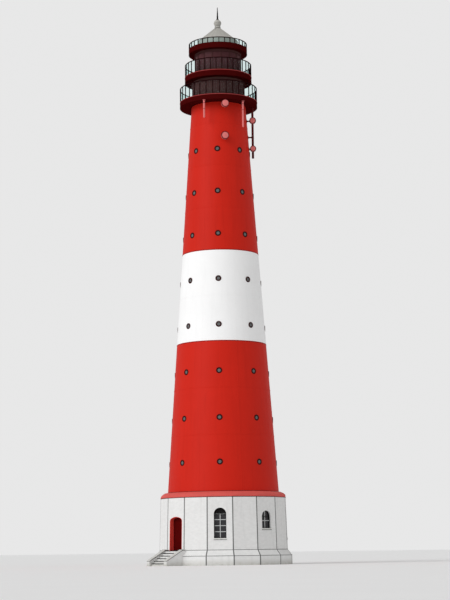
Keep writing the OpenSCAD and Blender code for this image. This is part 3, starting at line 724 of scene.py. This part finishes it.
def cheek_copings():
    """Thin stone copings over the sloping cheek walls, bedded on dark joints."""
    bm, joints = bmesh.new(), bmesh.new()
    front = -low("cheek_wall_left").y
    back_top = PLINTH_Z + CHEEK_UP
    knee = -(STEPS_FRONT + (RISERS - 1) * GOING) - 0.010
    for side in (-1, 1):
        middle = side * (STEPS_W + CHEEK_T) / 2
        half = CHEEK_T / 2 + 0.008
        rows = []
        for out, top in ((front - 0.002, CHEEK_END_H), (knee, back_top),
                         (PLINTH_R * math.cos(BAY / 2), back_top), (FACE_R + 0.001, back_top)):
            rows.append([at(0, middle + u, out, top + v) for u, v in (
                (-half, -0.010), (-half + 0.010, -0.002), (half - 0.010, -0.002), (half, -0.010),
                (half, 0.012), (half - 0.004, 0.016), (-half + 0.004, 0.016), (-half, 0.012))])
        loft(bm, rows)
        for edge in (-1, 1):
            line = middle + edge * CHEEK_T / 2
            seam = []
            for out, top in ((front - 0.001, CHEEK_END_H), (knee, back_top), (FACE_R, back_top)):
                seam.append([at(0, line + u, out, top + v) for u, v in (
                    (-0.003, -0.026), (0.003, -0.026), (0.003, -0.008), (-0.003, -0.008))])
            loft(joints, seam)
        block(joints, 0, middle, front - 0.002, CHEEK_END_H - 0.016, (CHEEK_T, 0.004, 0.016), 0.001)
    piece("cheek_copings", bm, "grey_stone")
    piece("coping_joints", joints, "frame_dark")


def door_boards():
    """Upright boards on the leaf's face with open joints, ledges on its back, and nails."""
    lowest, highest = low("door_leaf"), high("door_leaf")
    width = highest.x - lowest.x
    count = 6
    board = width / count
    bm = bmesh.new()
    for i in range(count):
        x = lowest.x + board * (i + 0.5)
        block(bm, 0, x, -lowest.y, (lowest.z + highest.z) / 2,
              (board - 0.007, 0.003, highest.z - lowest.z - 0.012), 0.001)
    back = -highest.y
    for up in (0.09, 0.55, 1.06):
        block(bm, 0, 0.02, back - 0.008, lowest.z + up, (width - 0.11, 0.018, 0.09), 0.004)
    # The boards take the door's dark red, which is painted shade of the recess.
    piece("door_boards", bm, "door_red", body=DOOR)
    nails = bmesh.new()
    for i in range(count):
        x = lowest.x + board * (i + 0.5)
        for up in (0.075, 0.105, 0.535, 0.565, 1.045, 1.075):
            stud(nails, (x, lowest.y - 0.0014, lowest.z + up), (0, -1, 0), 0.0035, 0.002)
    piece("door_nails", nails, "hinge_iron", body=DOOR)


def handle_rose():
    """A turned rose round the knob's neck, and four screws in the plate."""
    plate, screws = bmesh.new(), bmesh.new()
    box_low, box_high = low("door_handle"), high("door_handle")
    x, z = (box_low.x + box_high.x) / 2, (box_low.z + box_high.z) / 2
    front = low("door_leaf").y - 0.004
    lathe(plate, rounded_band(0.0085, 0.014, 0, 0.005), 24, (x, front, z), (0, -1, 0))
    lathe(plate, bead(0.0165, 0, 0.0025, 6), 24, (x, box_low.y + 0.008, z), (0, -1, 0))
    for dx in (-0.011, 0.011):
        for dz in (-0.041, 0.041):
            stud(screws, (x + dx, front, z + dz), (0, -1, 0), 0.0022, 0.0015)
    piece("handle_rose", plate, "brass", body=DOOR)
    piece("handle_screws", screws, "brass", body=DOOR)


def lining_beads():
    """A raised bead along the doorway's straight reveals and a worn metal saddle on the threshold."""
    bm = bmesh.new()
    half = DOOR_W / 2 - LINING_T
    for side in (-1, 1):
        for out in (FACE_R - 0.030, FACE_R - 0.165):
            block(bm, 0, side * (half - 0.002), out, PLINTH_Z + 0.50, (0.008, 0.010, 0.98), 0.002)
    # The beads take the lining's lighter red, which is painted light on the reveal.
    piece("lining_beads", bm, "lining_red")
    saddle = bmesh.new()
    for rib in range(4):
        block(saddle, 0, 0, FACE_R - 0.020 - 0.022 * rib, PLINTH_Z + 0.001,
              (2 * half - 0.02, 0.014, 0.004), 0.001)
    piece("threshold_saddle", saddle, "hinge_iron")


# ---- Galleries ----

def gallery_edges():
    """The nosing along the two lower decks, in a lighter red that is a painted highlight of the deck edges,
    and the foot bead, seams and bolts of each fascia.
    """
    bm = bmesh.new()
    for r, deck in ((LOWER_R, LOWER_DECK), (MIDDLE_R, MIDDLE_DECK)):
        lathe(bm, rounded_band(r - 0.006, r + 0.008, deck - 0.022, deck + 0.002), 192)
    piece("deck_nosings", bm, "skirt_red", material=NOSING_HIGHLIGHT_RED)
    trim = bmesh.new()
    for r, deck, soffit in ((LOWER_R, LOWER_DECK, LOWER_SOFFIT), (MIDDLE_R, MIDDLE_DECK, MIDDLE_SOFFIT),
                            (ROOF_R, ROOF_DECK, ROOF_SOFFIT)):
        lathe(trim, rounded_band(r - 0.004, r + 0.004, soffit, soffit + 0.018), 192)
        for i in range(24):
            angle = 15 * i + 7.5
            block(trim, angle, 0, r, (deck - 0.034 + soffit + 0.020) / 2,
                  (0.024, 0.005, deck - soffit - 0.056), 0.001)
            for up in (0.25, 0.5, 0.75):
                z = soffit + (deck - soffit) * up
                for side in (-0.006, 0.006):
                    stud(trim, at(angle, side, r + 0.0024, z), at(angle, 0, 1, 0), 0.0022, 0.002)
    piece("fascia_trim", trim, "gallery_red")


def railing_details():
    """Foot plates at the posts, clamps that hold the glass, and a round handrail."""
    iron = bmesh.new()
    for name, count, start in RAILINGS:
        deck = low(f"{name}_railing").z
        top = high(f"{name}_railing").z
        r = high(f"{name}_gallery").x
        for i in range(count):
            angle = start + 360 / count * i
            block(iron, angle, 0, r - 0.024, deck + 0.004, (0.046, 0.044, 0.008), 0.002)
            for up in (0.25, 0.72):
                z = deck + (top - deck) * up
                block(iron, angle, 0, r - 0.031, z, (0.036, 0.010, 0.020), 0.002)
        lathe(iron, bead(r - 0.015, top - 0.001, 0.011, 8), 192)
    piece("railing_iron", iron, "railing_dark")


def service_room_trim():
    """The lighter band under the middle gallery, and a foot bead and upright straps round the wall."""
    service_r = high("service_room_wall").x - SERVICE_LIP
    bm = bmesh.new()
    lathe(bm, rounded_band(service_r + 0.008, service_r + 0.016,
                           MIDDLE_SOFFIT - 0.060, MIDDLE_SOFFIT - 0.006), 160)
    piece("service_band", bm, "drum_brown", material=BAND_BROWN)
    foot = bmesh.new()
    lathe(foot, rounded_band(service_r - 0.004, service_r + 0.014, LOWER_DECK, LOWER_DECK + 0.030), 160)
    for i in range(24):
        angle = 15 * i
        block(foot, angle, 0, service_r, (LOWER_DECK + MIDDLE_SOFFIT) / 2 - 0.02, (0.030, 0.004, 0.61), 0.001)
    piece("service_foot", foot, "drum_brown")


def lantern_trim():
    """Beads round the lantern's foot, sill and head."""
    bm = bmesh.new()
    r = high("lantern_frame").x
    sill, head = MIDDLE_DECK + LANTERN_SILL_UP, ROOF_SOFFIT - LANTERN_HEAD_DOWN
    for z in (MIDDLE_DECK + 0.012, sill - 0.008, head + 0.008):
        lathe(bm, bead(r, z, 0.007, 6), 160)
    piece("lantern_trim", bm, "drum_brown")


# ---- Roof ----

def roof_seams():
    """Standing seams up the cone, a bead along its dripping eave and a band round its top at the neck."""
    bm = bmesh.new()
    slope = math.atan2(NECK_Z - CONE_Z, CONE_R - CONE_TOP_R)
    lift = Vector((math.sin(slope), math.cos(slope)))
    for i in range(24):
        angle = 15 * i
        rows = []
        for r, z in ((CONE_R - 0.006, CONE_Z + 0.004), (CONE_TOP_R + 0.006, NECK_Z - 0.006)):
            rows.append([at(angle, side, r + lift.x * up, z + lift.y * up) for side, up in (
                (-0.005, -0.006), (0.005, -0.006), (0.004, 0.009), (-0.004, 0.009))])
        loft(bm, rows)
    lathe(bm, bead(CONE_R, CONE_Z - 0.004, 0.007, 6), 160)
    lathe(bm, rounded_band(CONE_TOP_R - 0.010, CONE_TOP_R + 0.006, NECK_Z - 0.012, NECK_Z + 0.004), 64)
    piece("roof_seams", bm, "roof_grey")


def ventilator_details():
    """The collar round the neck between two dark joints, and the ball's seam."""
    collar, lines = bmesh.new(), bmesh.new()
    neck_r = high("ventilator_neck").x
    lathe(collar, rounded_band(neck_r - 0.004, neck_r + 0.012, NECK_Z + 0.022, NECK_Z + 0.082), 64)
    for z in (NECK_Z + 0.014, NECK_Z + 0.090):
        lathe(lines, rounded_band(neck_r - 0.003, neck_r + 0.005, z - 0.007, z + 0.007), 64)
    lathe(lines, bead(BALL_R, BALL_Z, 0.003, 6), 64)
    piece("ventilator_collar", collar, "roof_grey")
    piece("ventilator_lines", lines, "rod_black")


def rod_details():
    """A turned boss at the rod's foot and two clamp rings up it."""
    bm = bmesh.new()
    foot = BALL_Z + BALL_R
    lathe(bm, rounded_band(0.020, 0.048, foot - 0.006, foot + 0.020), 32)
    for up, r in ((0.12, 0.031), (0.26, 0.024)):
        lathe(bm, bead(r, foot + up, 0.005, 6), 24)
    piece("rod_boss", bm, "rod_black")


# ---- Antennas ----

def antenna_details():
    """Dark rims on the dishes, partly a painted shadow at their edges, collars on the hanging rods, and bolts
    in their plates.
    """
    dark, pink = bmesh.new(), bmesh.new()
    for angle in WHIP_ANGLES:
        foot = at(angle, 0, HANG_R, 0)
        for up, r in ((0.022, 0.041), (0.12, 0.038), (0.34, 0.038)):
            z = LOWER_SOFFIT - up
            lathe(dark, rounded_band(0.033, r, z - 0.008, z + 0.008), 24, foot)
        for u in (-0.032, 0.032):
            for v in (-0.032, 0.032):
                stud(dark, at(angle, u, HANG_R + v, LOWER_SOFFIT - 0.015), (0, 0, -1), 0.005, 0.004)
    lower_z = LOWER_SOFFIT - LOWER_DISH_DROP
    places = [(at(DISH_ANGLE, 0, HANG_R, LOWER_SOFFIT - DISH_R - 0.006), DISH_ANGLE, DISH_R),
              (at(DISH_ANGLE, 0, shaft_r(lower_z) + DISH_ARM + DISH_T, lower_z), DISH_ANGLE, DISH_R)]
    mast = mast_axis()
    for up, r in SIDE_DISHES:
        centre = mast + at(SIDE_DISH_ANGLE, 0, MAST_R - 0.012 + DISH_T, low("side_mast").z + up)
        places.append((centre, SIDE_DISH_ANGLE, r))
    for centre, angle, r in places:
        out = at(angle, 0, 1, 0)
        # The rim is the dish's real edge in the mast's dark paint; its darkness also stands as a painted
        # shadow at the dish's edge.
        lathe(dark, rounded_band(r - 0.020, r + 0.004, -0.016, 0.016), 48, centre, out)
        lathe(dark, rounded_band(r - 0.003, r + 0.003, -DISH_T + 0.002, -DISH_T + 0.012), 48, centre, out)
        lathe(pink, bead(0.030, r * 0.16, 0.004, 6), 24, centre, out)
    piece("antenna_bands", dark, "mast_red")
    piece("antenna_feeds", pink, "antenna_pink")


def mast_axis():
    """The foot of the mast's own axis, at ground level."""
    box_low, box_high = low("side_mast"), high("side_mast")
    middle = (box_low.z + box_high.z) / 2
    return at(MAST_ANGLE, 0, shaft_r(middle) + MAST_ARM + MAST_R, 0)


def mast_details():
    """Clamp bands round the mast at its brackets, wall plates on the shaft, and bands at its ends."""
    bm = bmesh.new()
    foot = mast_axis()
    z0, z1 = low("side_mast").z, high("side_mast").z
    for up in MAST_BRACKETS:
        z = z0 + up
        for side in (-0.030, 0.030):
            lathe(bm, rounded_band(MAST_R - 0.003, MAST_R + 0.005, z + side - 0.008, z + side + 0.008),
                  32, foot)
        block(bm, MAST_ANGLE, 0, shaft_r(z) + 0.003, z, (0.110, 0.014, 0.110), 0.003)
        for u in (-0.040, 0.040):
            for v in (-0.040, 0.040):
                stud(bm, at(MAST_ANGLE, u, shaft_r(z) + 0.009, z + v), at(MAST_ANGLE, 0, 1, 0),
                     0.006, 0.005)
    lathe(bm, rounded_band(0.010, MAST_R + 0.004, z0 - 0.002, z0 + 0.014), 32, foot)
    lathe(bm, rounded_band(0.010, MAST_R + 0.004, z1 - 0.030, z1 - 0.004), 32, foot)
    piece("mast_clamps", bm, "mast_red")


for make in (shaft_joints, band_lines, plate_seams, porthole_rims, glazing_bars, sill_drips,
             shoulder_seams, step_edges, cheek_copings, door_boards, handle_rose, lining_beads,
             gallery_edges, railing_details, service_room_trim, lantern_trim, roof_seams,
             ventilator_details, rod_details, antenna_details, mast_details):
    make()


# ---- Camera, light and floor ----

CAMERA_AZIMUTH = math.radians(48.3)
CAMERA_DISTANCE = 62.0
CAMERA_HEIGHT = 0.5
CAMERA_PITCH = math.radians(8.358)
CAMERA_YAW = math.radians(0.136)
CAMERA_ROLL = math.radians(0.74)
CAMERA_LENS = 102.39
SKY_SEEN = 0.805
SKY_LIGHT = 0.66
# Name, azimuth and elevation in degrees, energy, and softness in degrees.
SUNS = (("Key", -2, 28, 1.65, 40), ("Fill", 130, 12, 0.20, 80))
FLOOR_HALF = 400


def add_camera():
    """A long lens near the ground, turned up and a little to the side."""
    data = bpy.data.cameras.new("Camera")
    data.lens = CAMERA_LENS
    data.sensor_width = 36
    data.clip_end = 500
    camera = bpy.data.objects.new("Camera", data)
    bpy.context.scene.collection.objects.link(camera)
    place = Matrix.Translation((math.sin(CAMERA_AZIMUTH) * CAMERA_DISTANCE,
                                -math.cos(CAMERA_AZIMUTH) * CAMERA_DISTANCE, CAMERA_HEIGHT))
    turn = (Matrix.Rotation(CAMERA_AZIMUTH - CAMERA_YAW, 4, "Z")
            @ Matrix.Rotation(math.pi / 2 + CAMERA_PITCH, 4, "X")
            @ Matrix.Rotation(-CAMERA_ROLL, 4, "Z"))
    camera.matrix_world = place @ turn
    bpy.context.scene.camera = camera


def add_light():
    """A plain grey sky that is dimmer as a light than as a background, and two soft suns."""
    world = bpy.data.worlds.new("Studio")
    world.use_nodes = True
    tree = world.node_tree
    background = tree.nodes["Background"]
    background.inputs["Color"].default_value = (SKY_SEEN, SKY_SEEN, SKY_SEEN, 1)
    seen = tree.nodes.new("ShaderNodeLightPath")
    strength = tree.nodes.new("ShaderNodeMapRange")
    strength.inputs["To Min"].default_value = SKY_LIGHT
    tree.links.new(seen.outputs["Is Camera Ray"], strength.inputs["Value"])
    tree.links.new(strength.outputs["Result"], background.inputs["Strength"])
    bpy.context.scene.world = world
    for name, azimuth, elevation, energy, softness in SUNS:
        data = bpy.data.lights.new(name, "SUN")
        data.energy = energy
        data.angle = math.radians(softness)
        light = bpy.data.objects.new(name, data)
        bpy.context.scene.collection.objects.link(light)
        turn, rise = math.radians(azimuth), math.radians(elevation)
        toward = Vector((math.sin(turn) * math.cos(rise), -math.cos(turn) * math.cos(rise),
                         math.sin(rise)))
        light.rotation_euler = toward.to_track_quat("Z", "Y").to_euler()


def add_floor():
    """A wide pale sheet of paper under the part, on the stage only."""
    mesh = bpy.data.meshes.new("Floor")
    corners = [(x * FLOOR_HALF, y * FLOOR_HALF, 0) for x, y in ((-1, -1), (1, -1), (1, 1), (-1, 1))]
    mesh.from_pydata(corners, [], [(0, 1, 2, 3)])
    floor = bpy.data.objects.new("Floor", mesh)
    bpy.context.scene.collection.objects.link(floor)
    material, node, link, shader = new_material("FloorPaper")
    coords = node("ShaderNodeTexCoord").outputs["Object"]
    patches = noise(node, link, coords, 0.4)
    link(mix(node, link, patches, (0.88, 0.88, 0.88, 1), (0.91, 0.91, 0.91, 1)), shader.inputs["Base Color"])
    shader.inputs["Roughness"].default_value = 0.9
    mesh.materials.append(material)


add_camera()
add_light()
add_floor()
bpy.context.scene.view_settings.view_transform = "Standard"
